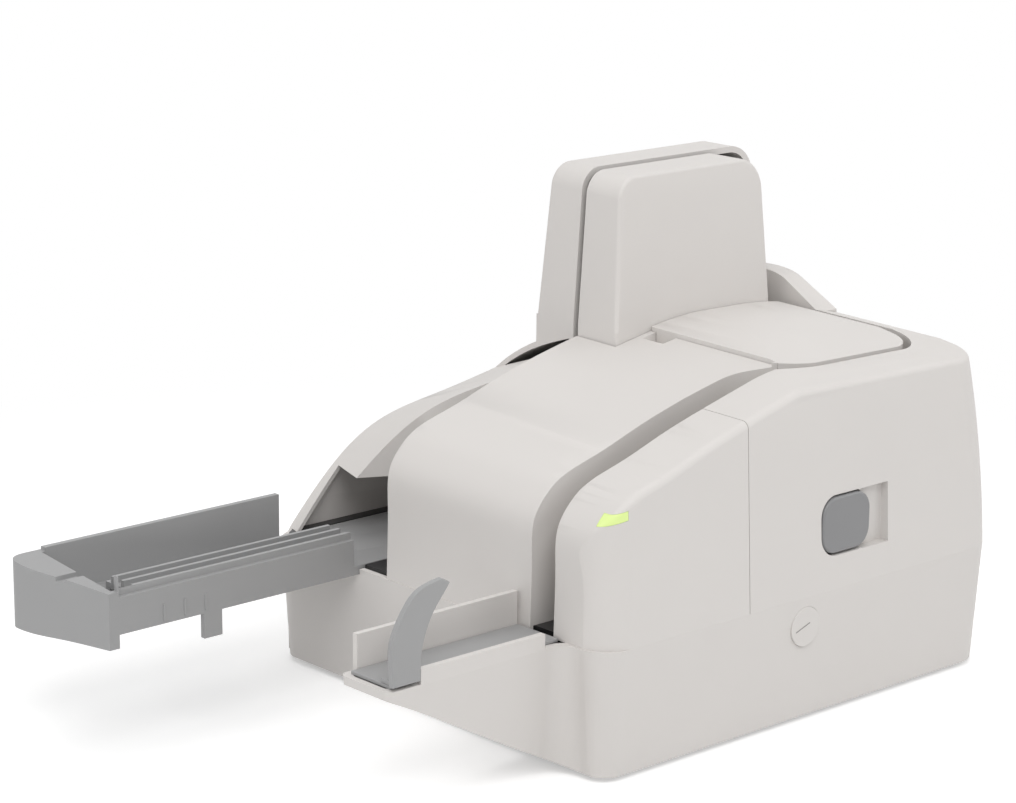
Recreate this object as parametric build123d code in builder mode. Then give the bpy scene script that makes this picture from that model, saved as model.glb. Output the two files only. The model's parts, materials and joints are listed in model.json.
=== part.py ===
"""Desktop cheque scanner: a U-shaped document track between hinged and fixed covers.

X runs along the document track, from the feed end to the U-turn.  Y runs from the front cover
to the rear.  Z is up.  All sizes are in millimetres.  The pieces are modelled from a datum at the
front left corner of the casing, on the table, and are moved as one when they are written, so that
the part's origin is the middle of its bounding box, at the table.
"""
import os
from math import radians, tan

from build123d import *

# ---------------------------------------------------------------- driving dimensions
BODY_LENGTH = 211.0
BODY_DEPTH = 188.0
SEAM_HEIGHT = 48.7
FOOT_HEIGHT = 2.0
WALL = 2.4
FIT_GAP = 0.3
CORNER_RADIUS = 15.0
CREASE_RADIUS = 3.0
BASE_DRAFT = 3.4

# document track: floor height, plane of the return run, and the walls beside the feed run
TRACK_FLOOR = 50.0
DECK_THICKNESS = 3.0
TRACK_GAP = 3.0
HOPPER_FRONT = 26.0
HOPPER_BACK = 38.0
FEED_WALL = 21.0
RETURN_FRONT = 116.0
RETURN_BACK = 118.6
TURN_OUTER = 188.0
TURN_INNER = 184.8
TURN_RADIUS = 14.0

# covers along X
SPLIT_X = 72.0
THROAT_X = 96.0
PATH_X = 114.0
THROAT_BACK = 29.0
COVER_END_Y = 76.0
TOP_HEIGHT = 133.0

# feed tongue
NOSE_X = -79.0
NOSE_HEIGHT = 45.0
TONGUE_FRONT = 20.0
TONGUE_BACK = 46.0
TONGUE_RIM = 54.0

# scanning tower
TOWER_LEFT = 95.6
TOWER_RIGHT = 180.2
TOWER_FRONT = 95.0
TOWER_REAR = 139.5
TOWER_HEIGHT = 190.2
TOWER_LEAN = 4.0

# eject pocket and tray
POCKET_RIGHT = 85.0
POCKET_INNER_NARROW = 127.0
POCKET_INNER_WIDE = 172.0
TRAY_FRONT = 132.0
TRAY_BACK = 179.5
TRAY_FACE = -111.0
TRAY_END = -122.4
TRAY_WALL = 2.2
TRAY_TRAVEL = 55.0
TRAY_INNER_END = 84.0
HINGE_X = 207.5
HINGE_Y = 79.5
HINGE_RADIUS = 3.2
PIN_RADIUS = 1.5

# open lever, button and rollers
LEVER_X = 123.3
LEVER_Z = 72.6
LEVER_SIZE = (27.0, 22.8)
LEVER_PIVOT = (112.8, 3.2)
LEVER_ARM = 9.8
LEVER_PIN_RADIUS = 1.0
BUTTON_X = 102.0
BUTTON_Z = 37.5
BUTTON_DIAMETER = 15.0
BUTTON_TRAVEL = 1.5
DRIVE_RADIUS = 8.0
PINCH_RADIUS = 5.0
SHAFT_RADIUS = 2.5
NIP_GAP = 0.3
PULLEY_RADIUS = 6.0
BELT_THICKNESS = 1.4

# middle of the whole part's box, from the datum corner
CENTRE = Location((-(BODY_LENGTH + TRAY_END) / 2, -BODY_DEPTH / 2, 0))

os.makedirs("parts", exist_ok=True)


def keep(piece, node):
    """Move a finished piece to the part's origin, label it and write it."""
    placed = piece.moved(CENTRE)
    placed.label = node
    export_step(placed, "parts/" + node + ".step")


def block(x, y, z, mode=Mode.ADD):
    """A box between its limits along each axis."""
    with Locations(((x[0] + x[1]) / 2, (y[0] + y[1]) / 2, (z[0] + z[1]) / 2)):
        Box(x[1] - x[0], y[1] - y[0], z[1] - z[0], mode=mode)


def rod(centre, z, radius, mode=Mode.ADD):
    """An upright cylinder between two heights."""
    with Locations((centre[0], centre[1], (z[0] + z[1]) / 2)):
        Cylinder(radius, z[1] - z[0], mode=mode)


# ---------------------------------------------------------------- shared outlines
# Side view of the covers: the top falls to the feed end in one long curve, and a little to the U-turn.
TOP_CURVE = [(9, 97.6), (30, 106), (52, 113.2), (71, 118.6), (95, 124.8), (118, 129.8), (145, 131.6),
             (165, 131), (182, 129.4), (200, 125.8), (216, 121)]
TOP_RISE = 0.022
TOP_LEVEL_Y = 10.0
# End view: the top is a low dome that rolls down to the rear.
DOME_CURVE = [(-1, 124.6), (23, 127.6), (46, 131.4), (75, 133.4), (95, 133.6), (112, 129), (139, 119.5),
              (160, 107)]
DOME_FALL = 0.02
DOME_LEVEL_X = 125.0
RIGHT_LEAN = 11.5
REAR_LEAN = 6.0
FRONT_LEAN = 4.4


def side_outline(low, drop=0.0):
    """Side view of the covers from a low edge up, on XZ, lowered by drop."""
    with BuildSketch(Plane.XZ) as outline:
        with BuildLine():
            curve = Spline([(x, z - drop) for x, z in TOP_CURVE], tangents=((1, 0.9), (1, -0.35)))
            left = Spline([(0.4, low), (0.9, 76 - drop), (2.6, 90 - drop), curve @ 0],
                          tangents=((0, 1), (1, 0.9)))
            right = Line(curve @ 1, (curve.position_at(1).X, low))
            Line(right @ 1, left @ 0)
        make_face()
    return outline.sketch


def end_outline(low, inset=0.0):
    """End view of the covers from a low edge up, on YZ."""
    low = low - 8
    with BuildSketch(Plane.YZ) as outline:
        with BuildLine():
            dome = Spline([(y, z - inset) for y, z in DOME_CURVE])
            front = Line((inset - 3, low), (inset - 3, 123.5 - inset))
            Line(front @ 1, dome @ 0)
            rear = Spline([dome @ 1, (179 - inset, 88), (BODY_DEPTH - inset, low)],
                          tangents=(dome % 1, (0.06, -1)))
            Line(rear @ 1, front @ 0)
        make_face()
    return outline.sketch


def plan_outline(height, inset=0.0):
    """Plan of the covers at a height: a rounded rectangle that leans in towards the top."""
    rise = max(0.0, (height - SEAM_HEIGHT) / (TOP_HEIGHT - SEAM_HEIGHT))
    low = (inset + 1.5 * rise, inset + FRONT_LEAN * rise)
    high = (BODY_LENGTH - inset - RIGHT_LEAN * rise ** 1.9, BODY_DEPTH - inset - REAR_LEAN * rise)
    with BuildSketch(Plane.XY.offset(height)) as plan:
        with Locations(((low[0] + high[0]) / 2, (low[1] + high[1]) / 2)):
            RectangleRounded(high[0] - low[0], high[1] - low[1], CORNER_RADIUS - inset)
    return plan.sketch


def long_top(low, drop=0.0):
    """The side view carried across the covers, rising slightly to the rear."""
    view = side_outline(low - 5, drop).moved(Location((0, 0, -TOP_RISE * TOP_LEVEL_Y)))
    return extrude(view, amount=BODY_DEPTH, dir=(0, 1, TOP_RISE), mode=Mode.PRIVATE)


def dome(inset=0.0):
    """The end view carried along the covers, falling slightly to the U-turn."""
    view = end_outline(SEAM_HEIGHT, inset).moved(Location((0, 0, DOME_FALL * DOME_LEVEL_X)))
    return extrude(view, amount=BODY_LENGTH + 20, dir=(1, 0, -DOME_FALL), mode=Mode.PRIVATE)


def wall_heights(low):
    """Heights of the plans that the covers' walls pass through."""
    return low, (low + TOP_HEIGHT) / 2, TOP_HEIGHT + 2


# ---------------------------------------------------------------- envelope of the covers
with BuildPart() as envelope:
    loft([plan_outline(height) for height in wall_heights(SEAM_HEIGHT)])
    add(long_top(SEAM_HEIGHT), mode=Mode.INTERSECT)
    add(dome(), mode=Mode.INTERSECT)


def inner_envelope(inset):
    """The covers' inside surface, one wall thickness in from the outside."""
    with BuildPart() as inside:
        loft([plan_outline(height, inset) for height in wall_heights(SEAM_HEIGHT - 1)])
        add(long_top(SEAM_HEIGHT - 1, inset), mode=Mode.INTERSECT)
        add(dome(inset), mode=Mode.INTERSECT)
    return inside.part


def creases(builder):
    """The edges where the front and right-hand walls turn into the top."""
    return [edge for edge in builder.edges()
            if edge.bounding_box().min.Z > 92 and edge.center().Y < 150
            and (edge.center().Y < 14 or edge.bounding_box().max.X > 192)]


with BuildPart() as outside:
    add(envelope.part)
    fillet(creases(outside), CREASE_RADIUS)
inside = inner_envelope(WALL)


def plan_block(sketch, low=SEAM_HEIGHT, high=TOP_HEIGHT + 20):
    """A plan region raised from a low height to a high one."""
    return extrude(sketch, amount=high - low, mode=Mode.PRIVATE).moved(Location((0, 0, low)))


# ---------------------------------------------------------------- plans of the separate covers
def corner_plan(inset=0.0):
    """Block in front of the feed hopper, up to the split from the hinged cover."""
    with BuildSketch() as plan:
        with BuildLine():
            Polyline((-5, -5), (SPLIT_X - FIT_GAP / 2 - inset, -5),
                     (SPLIT_X - FIT_GAP / 2 - inset, HOPPER_FRONT - inset),
                     (-5, HOPPER_FRONT - inset), close=True)
        make_face()
    return plan.sketch


def front_plan(inset=0.0):
    """Hinged cover: along the feed run and round the U-turn to its hinge."""
    left = SPLIT_X + FIT_GAP / 2 + inset
    turn = TURN_RADIUS + inset
    with BuildSketch() as plan:
        with BuildLine():
            hopper = Line((left, HOPPER_FRONT - inset), (THROAT_X, HOPPER_FRONT - inset))
            throat = Spline([hopper @ 1, (THROAT_X + 34, FEED_WALL - inset)],
                            tangents=((1, 0), (1, 0)))
            run = Line(throat @ 1, (TURN_OUTER - TURN_RADIUS, FEED_WALL - inset))
            bend = TangentArc(run @ 1, (TURN_OUTER + inset, FEED_WALL + TURN_RADIUS), tangent=(1, 0))
            Polyline(bend @ 1, (TURN_OUTER + inset, COVER_END_Y - inset), (240, COVER_END_Y - inset),
                     (240, -5), (left, -5), hopper @ 0)
        make_face()
    return plan.sketch


def centre_plan(inset=0.0):
    """Fixed cover between the feed hopper and the eject pocket."""
    with BuildSketch() as plan:
        with BuildLine():
            hopper = Line((-5, HOPPER_BACK + inset), (THROAT_X - 3, HOPPER_BACK + inset))
            throat = Spline([hopper @ 1, (PATH_X - FIT_GAP - inset, THROAT_BACK + inset)],
                            tangents=((1, 0), (1, -0.45)))
            Polyline(throat @ 1, (PATH_X - FIT_GAP - inset, TOWER_FRONT - FIT_GAP - inset),
                     (TOWER_LEFT - 2 * FIT_GAP - inset, TOWER_FRONT - FIT_GAP - inset),
                     (TOWER_LEFT - 2 * FIT_GAP - inset, RETURN_FRONT - inset),
                     (-5, RETURN_FRONT - inset), hopper @ 0)
        make_face()
    return plan.sketch


def path_plan(inset=0.0):
    """Cover inside the U-turn, whose walls are the inner walls of the track."""
    front = FEED_WALL + TRACK_GAP + inset
    radius = TURN_RADIUS - TRACK_GAP
    with BuildSketch() as plan:
        with BuildLine():
            flank = Spline([(PATH_X + inset, THROAT_BACK - 0.1 + inset), (THROAT_X + 36, front)],
                           tangents=((1, -0.45), (1, 0)))
            run = Line(flank @ 1, (TURN_INNER - radius, front))
            bend = TangentArc(run @ 1, (TURN_INNER - inset, front + radius - inset), tangent=(1, 0))
            Polyline(bend @ 1, (TURN_INNER - inset, TOWER_FRONT - FIT_GAP - inset),
                     (PATH_X + inset, TOWER_FRONT - FIT_GAP - inset), flank @ 0)
        make_face()
    return plan.sketch


def rear_plan(inset=0.0):
    """Fixed cover behind the return run and round the rear of the U-turn."""
    turn_end = RETURN_BACK - TURN_RADIUS
    with BuildSketch() as plan:
        with BuildLine():
            side = Line((TURN_OUTER + inset, COVER_END_Y + FIT_GAP + inset),
                        (TURN_OUTER + inset, turn_end))
            bend = TangentArc(side @ 1, (TURN_OUTER - TURN_RADIUS, RETURN_BACK + inset), tangent=(0, 1))
            Polyline(bend @ 1, (-5, RETURN_BACK + inset), (-5, 200), (240, 200),
                     (240, COVER_END_Y + FIT_GAP + inset), side @ 0)
        make_face()
    return plan.sketch


def pocket_plan(widen=0.0):
    """Eject pocket: narrow where the track ends, wide where the tray begins."""
    with BuildSketch() as plan:
        with BuildLine():
            outer = Spline([(POCKET_RIGHT + widen, POCKET_INNER_NARROW + widen),
                            (42, 152 + widen), (-5, POCKET_INNER_WIDE + widen)],
                           tangents=((-1, 0.45), (-1, 0.25)))
            Polyline(outer @ 1, (-5, RETURN_FRONT - 1), (POCKET_RIGHT + widen, RETURN_FRONT - 1),
                     outer @ 0)
        make_face()
    return plan.sketch


deck_relief = extrude(plan_outline(SEAM_HEIGHT, WALL - 0.4).moved(Location((0, 0, -1))),
                      amount=TRACK_FLOOR + 1.05 - SEAM_HEIGHT)


def cover_shell(plan):
    """A cover: the outside over its plan, less the space inside its walls."""
    with BuildPart() as shell:
        add(outside.part & plan_block(plan()))
        add(inside & plan_block(plan(WALL), SEAM_HEIGHT - 1), mode=Mode.SUBTRACT)
        add(deck_relief, mode=Mode.SUBTRACT)
    return shell.part


WINDOW_RADIUS = 8.0
KNUCKLES = (54.5, 69.5)
KNUCKLE_LENGTH = 7.0
BOLT_Y = (10.0, 15.4)
BOLT_Z = (69.3, 75.3)
BOLT_TIP = 70.0
BOLT_END = 117.0
BOLT_FIT = 0.05
NIP_ROLLERS = (138.0, 166.0)
NIP_Y = 22.5
TYRE_HEIGHTS = (62.0, 100.0)
TYRE_WIDTH = 12.0
HEAD_X = 152.0
PINCH_Y = NIP_Y - NIP_GAP / 2 - PINCH_RADIUS
DRIVE_Y = NIP_Y + NIP_GAP / 2 + DRIVE_RADIUS
AXLE_RADIUS = 1.5


def grown(limits, gap):
    """A pair of limits moved apart by a gap at each end."""
    return limits[0] - gap, limits[1] + gap


# ---------------------------------------------------------------- feed corner cover and its light
LIGHT_LEVEL = 90.3
LIGHT_RISE = 0.22
LIGHT_WIDTH = 3.4
LIGHT_END = (13.0, 9.5)


def light_band(gap=0.0):
    """A sloping band round the front left corner, as deep as the light, less a gap."""
    right = LIGHT_END[0] - gap
    rise = LIGHT_RISE * (right + 5)
    with BuildSketch(Plane.XZ) as band:
        with BuildLine():
            Polyline((-5, LIGHT_LEVEL + gap), (right, LIGHT_LEVEL + rise + gap),
                     (right, LIGHT_LEVEL + rise + LIGHT_WIDTH - gap),
                     (-5, LIGHT_LEVEL + LIGHT_WIDTH - gap), close=True)
        make_face()
    return extrude(band.sketch, amount=-LIGHT_END[1] - 5 + gap, mode=Mode.PRIVATE).moved(Location((0, -5, 0)))


with BuildPart() as feed_corner_cover:
    add(cover_shell(corner_plan))
    add(light_band(), mode=Mode.SUBTRACT)
    block((66, 73), (3.7, BOLT_Y[1] + 0.2), grown(BOLT_Z, 0.2), Mode.SUBTRACT)
    rod((36, 6.2), (TRACK_FLOOR + 0.05, 72), 4)
    rod((36, 6.2), (TRACK_FLOOR, 62), 1.35, Mode.SUBTRACT)
with BuildPart() as status_light:
    add(outside.part)
    add(light_band(0.1), mode=Mode.INTERSECT)
    add(inside, mode=Mode.SUBTRACT)
with BuildPart() as light_board:
    with Locations((17, 13, 88)):
        Box(13, 10, 1.6)
    with Locations((13, 10.5, 89.8), (20, 10.5, 89.8)):
        Box(3, 3, 2)

# ---------------------------------------------------------------- hinged front cover
with BuildSketch(Plane.XZ.offset(-8)) as lever_window:
    with Locations((LEVER_X, LEVER_Z)):
        RectangleRounded(LEVER_SIZE[0], LEVER_SIZE[1], WINDOW_RADIUS)
with BuildPart() as front_cover:
    add(cover_shell(front_plan))
    # shallow finger recess beside the lever, closed behind
    block((LEVER_X + 8, LEVER_X + 25), (2.4, 6.8), (LEVER_Z - 13.4, LEVER_Z + 13.4))
    block((LEVER_X + 8, LEVER_X + 23), (-2, 4.8), (LEVER_Z - 11.4, LEVER_Z + 11.4), Mode.SUBTRACT)
    extrude(lever_window.sketch, amount=16, mode=Mode.SUBTRACT)
    block((LEVER_X + 14, LEVER_X + 25), (4.8, 6.8), (LEVER_Z - 13.4, LEVER_Z + 13.4))
    # lugs for the lever's pin
    for height in (58.6, 86.0):
        with Locations((LEVER_PIVOT[0], LEVER_PIVOT[1] + 1.5, height)):
            Box(6, 5, 3)
    rod(LEVER_PIVOT, (56.5, 88), LEVER_PIN_RADIUS + 0.02, Mode.SUBTRACT)
    # guide for the latch bolt
    block((96, 101), (3, 16.6), (66.5, 78))
    block((66, 103), grown(BOLT_Y, BOLT_FIT), grown(BOLT_Z, BOLT_FIT), Mode.SUBTRACT)
    # windows in the track wall for the pinch rollers, and forks for their axles
    for x in NIP_ROLLERS:
        for height in (51.7, 111.5):
            block((x - 4, x + 4), (12, 20), (height - 1.5, height + 1.5))
        block((x - 5.75, x + 5.75), (14, 25), (53.5, 109.5), Mode.SUBTRACT)
        rod((x, PINCH_Y), (50, 113.2), AXLE_RADIUS + 0.02, Mode.SUBTRACT)
    block((HEAD_X - 4.3, HEAD_X + 4.3), (17, 25), (51.7, 64.3), Mode.SUBTRACT)
    # hinge knuckles
    for height in KNUCKLES:
        with Locations((HINGE_X, HINGE_Y, height)):
            Cylinder(HINGE_RADIUS, KNUCKLE_LENGTH)
            with Locations((-1.0, -4.0, 0)):
                Box(4, 6, KNUCKLE_LENGTH)
    rod((HINGE_X, HINGE_Y), (50, 74), PIN_RADIUS + 0.02, Mode.SUBTRACT)

with BuildPart() as hinge_pin:
    rod((HINGE_X, HINGE_Y), (50.8, 73.2), PIN_RADIUS - 0.03)

with BuildPart() as open_lever:
    with BuildSketch(Plane.XZ.offset(-3.6)) as paddle:
        with Locations((LEVER_X, LEVER_Z)):
            RectangleRounded(LEVER_SIZE[0] - 1.4, LEVER_SIZE[1] - 1.4, WINDOW_RADIUS - 0.7)
    extrude(paddle.sketch, amount=2.7)
    fillet(open_lever.faces().sort_by(Axis.Y)[0].edges(), 1.0)
    rod(LEVER_PIVOT, (LEVER_Z - 5, LEVER_Z + 5), 2.2)
    block((LEVER_PIVOT[0] - 1.2, LEVER_PIVOT[0] + 1.2), (LEVER_PIVOT[1], LEVER_PIVOT[1] + LEVER_ARM + 1.5),
          (66.8, 69))
    rod((LEVER_PIVOT[0], LEVER_PIVOT[1] + LEVER_ARM), (68, 74.6), 1.0)
    rod(LEVER_PIVOT, (50, 95), LEVER_PIN_RADIUS + 0.05, Mode.SUBTRACT)

with BuildPart() as lever_pin:
    rod(LEVER_PIVOT, (57.3, 87.3), LEVER_PIN_RADIUS - 0.03)

with BuildPart() as latch_bar:
    block((BOLT_TIP, BOLT_END), BOLT_Y, BOLT_Z)
    block((LEVER_PIVOT[0] - 1.15, LEVER_PIVOT[0] + 1.15), (10.4, 14.3), (60, 90), Mode.SUBTRACT)
    chamfer(latch_bar.edges().filter_by(Axis.Z).sort_by(Axis.X)[0:2].sort_by(Axis.Y)[-1], 1.2)

# ---------------------------------------------------------------- rollers carried by the front cover
with BuildPart() as pinch_roller:
    rod((0, 0), (54, 109), 3)
    for height in TYRE_HEIGHTS:
        rod((0, 0), (height - 5, height + 5), PINCH_RADIUS)
    rod((0, 0), (53, 110), AXLE_RADIUS + 0.05, Mode.SUBTRACT)
with BuildPart() as pinch_axles:
    for x in NIP_ROLLERS:
        rod((x, PINCH_Y), (50.4, 112.8), AXLE_RADIUS - 0.03)
with BuildPart() as magnetic_head:
    block((HEAD_X - 4, HEAD_X + 4), (15, 22), (52, 64))
    block((HEAD_X - 5, HEAD_X + 5), (12.5, 15), (51, 65))

# ---------------------------------------------------------------- covers inside the track
PICK_X = 84.0
PICK_Y = 44.0
NOTCH_Y = (81.0, 92.0)


def below_hatch(drop=0.0):
    """Everything above the centre cover's top, which ends a step below the hatch beside it."""
    with BuildSketch(Plane.XZ) as side:
        with BuildLine():
            top = Spline([(50, 113.4 - drop), (71, 118.7 - drop), (95, 124 - drop), (PATH_X, 127.4 - drop)])
            Polyline(top @ 1, (PATH_X, 150), (50, 150), top @ 0)
        make_face()
    return extrude(side.sketch, amount=90, dir=(0, 1, TOP_RISE), mode=Mode.PRIVATE).moved(
        Location((0, 30, 20 * TOP_RISE)))


def finger_notch(deeper=0.0):
    """A scoop beside the hatch, deepest at the hatch's edge."""
    with BuildSketch(Plane.XZ) as side:
        with BuildLine():
            Polyline((PATH_X - 11 - deeper, 131), (PATH_X - 9 - deeper, 129), (PATH_X, 122.4 - deeper),
                     (PATH_X, 135), (PATH_X - 11 - deeper, 135), close=True)
        make_face()
    width = NOTCH_Y[1] - NOTCH_Y[0] + 2 * deeper
    return extrude(side.sketch, amount=-width, mode=Mode.PRIVATE).moved(Location((0, NOTCH_Y[0] - deeper, 0)))


with BuildPart() as centre_room:
    add(inside & plan_block(centre_plan(WALL), SEAM_HEIGHT - 1))
    add(below_hatch(WALL), mode=Mode.SUBTRACT)
    add(finger_notch(WALL), mode=Mode.SUBTRACT)
with BuildPart() as centre_cover:
    add(outside.part & plan_block(centre_plan()))
    add(below_hatch(), mode=Mode.SUBTRACT)
    add(finger_notch(), mode=Mode.SUBTRACT)
    add(centre_room.part, mode=Mode.SUBTRACT)
    add(deck_relief, mode=Mode.SUBTRACT)
    block((PICK_X - 8, PICK_X + 8), (34, 42), (58, 86), Mode.SUBTRACT)
    rod((6.4, 62), (TRACK_FLOOR + 0.05, 72), 4)
    rod((60, 110.4), (TRACK_FLOOR + 0.05, 72), 4)
    rod((6.4, 62), (TRACK_FLOOR, 62), 1.35, Mode.SUBTRACT)
    rod((60, 110.4), (TRACK_FLOOR, 62), 1.35, Mode.SUBTRACT)
with BuildPart() as path_cover:
    add(cover_shell(path_plan))
    for x in NIP_ROLLERS:
        for height in TYRE_HEIGHTS:
            block((x - 7.75, x + 7.75), (20, 28), (height - 7, height + 7), Mode.SUBTRACT)
    rod((130, 88.9), (TRACK_FLOOR + 0.05, 72), 4)
    rod((130, 88.9), (TRACK_FLOOR, 62), 1.35, Mode.SUBTRACT)


# ---------------------------------------------------------------- scanning tower
def tower_side(right, top, inset=0.0):
    """Side view of a tower slab above the covers: both ends lean in, the top corners are round."""
    shift = tan(radians(TOWER_LEAN)) * (top - TOWER_BASE)
    with BuildSketch(Plane.XZ) as side:
        with BuildLine():
            Polyline((TOWER_LEFT + inset, TOWER_BASE), (TOWER_LEFT + inset + shift, top - inset),
                     (right - inset - shift, top - inset), (right - inset, TOWER_BASE), close=True)
        make_face()
        fillet(side.vertices().sort_by(Axis.Y)[-2:].sort_by(Axis.X)[0], 9 - inset)
        fillet(side.vertices().sort_by(Axis.Y)[-2:].sort_by(Axis.X)[-1], 13 - inset)
    return side.sketch


def tower_slab(right, top, broad, slot, lean, inset=0.0, edge=0.0, foot_edge=0.0):
    """A slab from its broad face, which leans above the covers, to its upright slot face."""
    with BuildPart() as slab:
        extrude(tower_side(right, top, inset).moved(Location((0, min(broad, slot), 0))),
                amount=-abs(slot - broad))
        with BuildSketch(Plane.YZ) as end:
            with BuildLine():
                Polyline((broad, TOWER_BASE), (broad + lean * (top - TOWER_BASE), top + 1),
                         (slot, top + 1), (slot, TOWER_BASE), close=True)
            make_face()
        extrude(end.sketch, amount=BODY_LENGTH + 20, mode=Mode.INTERSECT)
        if edge:
            leaning = slab.faces().filter_by(lambda face: abs(face.normal_at().Y) > 0.9)
            leaning = leaning.sort_by(lambda face: abs(face.center().Y - broad))[0]
            fillet(leaning.edges().filter_by(lambda rim: rim.center().Z > TOWER_BASE + 1), edge)
        with BuildSketch(Plane.XY.offset(TRACK_FLOOR)) as foot:
            with Locations(((TOWER_LEFT + right) / 2, (broad + slot) / 2)):
                Rectangle(right - TOWER_LEFT - 2 * inset, abs(slot - broad))
            if foot_edge:
                fillet(foot.vertices().filter_by(lambda point: abs(point.Y - broad) < 0.1), foot_edge)
        extrude(foot.sketch, amount=TOWER_BASE - TRACK_FLOOR)
    return slab.part


TOWER_BASE = 131.0
FACE_LEAN = 0.06
SLAB_EDGE = 1.6
GUIDE_THICKNESS = 1.6

FRONT_BOSS = (163.0, 101.2)
with BuildPart() as front_sensor_housing:
    add(tower_slab(TOWER_RIGHT, TOWER_HEIGHT - 0.8, TOWER_FRONT, RETURN_FRONT, FACE_LEAN, 0, SLAB_EDGE,
                   SLAB_EDGE - 0.2))
    add(tower_slab(TOWER_RIGHT, TOWER_HEIGHT - 0.8, TOWER_FRONT + WALL, RETURN_FRONT + 1, FACE_LEAN, WALL),
        mode=Mode.SUBTRACT)
    rod(FRONT_BOSS, (TRACK_FLOOR + 0.05, 72), 4)
    rod(FRONT_BOSS, (TRACK_FLOOR, 62), 1.35, Mode.SUBTRACT)

# ---------------------------------------------------------------- rear cover with the rear slab
BLOCK_LEFT = 150.0
BLOCK_RIGHT = 203.0
BLOCK_TOP = 141.0
BACK_SLAB_RIGHT = 196.0


def rear_block(inset=0.0, foot=SEAM_HEIGHT):
    """Raised block at the rear right; its front slopes up from the top of the U-turn."""
    with BuildPart() as raised:
        with BuildSketch(Plane.YZ.offset(BLOCK_LEFT + inset)) as end:
            with BuildLine():
                slope = Line((COVER_END_Y + FIT_GAP, 129 - inset), (94, BLOCK_TOP - 1.8 - inset))
                crown = Spline([slope @ 1, (108, BLOCK_TOP + 1 - inset), (131, BLOCK_TOP - 2.5 - inset),
                                (156 - inset, 126 - inset), (178 - inset, 86)],
                               tangents=(slope % 1, (0.2, -1)))
                Polyline(crown @ 1, (180 - inset, foot), (COVER_END_Y + FIT_GAP, foot), slope @ 0)
            make_face()
        extrude(end.sketch, amount=BLOCK_RIGHT - BLOCK_LEFT - 2 * inset)
        extrude(rear_plan(inset).moved(Location((0, 0, foot - 1))), amount=200, mode=Mode.INTERSECT)
        extrude(side_block(inset, foot), amount=-BODY_DEPTH, mode=Mode.INTERSECT)
    return raised.part


def side_block(inset, foot):
    """Side view of the raised block: its right-hand end leans in like the covers."""
    with BuildSketch(Plane.XZ) as side:
        with BuildLine():
            Polyline((BLOCK_LEFT, foot - 2), (BLOCK_LEFT, BLOCK_TOP + 5), (196 - inset, BLOCK_TOP + 5),
                     (211 - inset, foot - 2), close=True)
        make_face()
    return side.sketch


RIM_FALL = 0.35


def above_pocket(drop=0.0):
    """Everything above the eject pocket's outer wall, whose rim falls steeply to the feed end."""
    with BuildSketch(Plane.XZ) as side:
        with BuildLine():
            rim = Spline([(TOWER_LEFT + 0.1, 121 - drop), (75, 116 - drop), (50, 110 - drop), (28, 93 - drop),
                          (-5, 55 - drop)], tangents=((-1, -0.3), (-1, -1.2)))
            Polyline(rim @ 1, (-5, 200), (TOWER_LEFT + 0.1, 200), rim @ 0)
        make_face()
    return extrude(side.sketch, amount=80, dir=(0, 1, -RIM_FALL), mode=Mode.PRIVATE).moved(
        Location((0, RETURN_BACK - 1, 0)))


REAR_BOSSES = [(205.2, 150), (170, 180.5)]
with BuildPart() as rear_cavity:
    add(inside & plan_block(rear_plan(WALL), SEAM_HEIGHT - 1))
    add(rear_block(WALL, SEAM_HEIGHT - 1))
    add(tower_slab(BACK_SLAB_RIGHT, TOWER_HEIGHT, TOWER_REAR - WALL, RETURN_BACK - 1, -FACE_LEAN, WALL))
    add(plan_block(pocket_plan(WALL), SEAM_HEIGHT - 2), mode=Mode.SUBTRACT)
    add(above_pocket(WALL), mode=Mode.SUBTRACT)
with BuildPart() as rear_cover:
    add(outside.part & plan_block(rear_plan()))
    add(rear_block())
    add(tower_slab(BACK_SLAB_RIGHT, TOWER_HEIGHT, TOWER_REAR, RETURN_BACK, -FACE_LEAN, 0, SLAB_EDGE))
    add(above_pocket(), mode=Mode.SUBTRACT)
    add(rear_cavity.part, mode=Mode.SUBTRACT)
    add(plan_block(pocket_plan(), SEAM_HEIGHT - 1), mode=Mode.SUBTRACT)
    add(deck_relief, mode=Mode.SUBTRACT)
    # bay that the eject tray slides into
    with Locations((TRAY_INNER_END / 2 + 30, (TRAY_FRONT + TRAY_BACK) / 2, TRACK_FLOOR)):
        Box(TRAY_INNER_END + 70, TRAY_BACK - TRAY_FRONT + 2, 46, mode=Mode.SUBTRACT)
    # hinge relief, with one barrel left standing in it
    rod((HINGE_X, HINGE_Y), (SEAM_HEIGHT - 2, 87), 5.3, Mode.SUBTRACT)
    with Locations((HINGE_X, HINGE_Y, 62)):
        Cylinder(HINGE_RADIUS, 7.4)
        with Locations((-0.5, 4.0, 0)):
            Box(3, 6, 7.4)
        Cylinder(PIN_RADIUS + 0.02, 7.4, mode=Mode.SUBTRACT)
    # bosses for its screws
    for x, y in REAR_BOSSES:
        rod((x, y), (TRACK_FLOOR + 0.05, 72), 4)
        rod((x, y), (TRACK_FLOOR, 62), 1.35, Mode.SUBTRACT)


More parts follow.
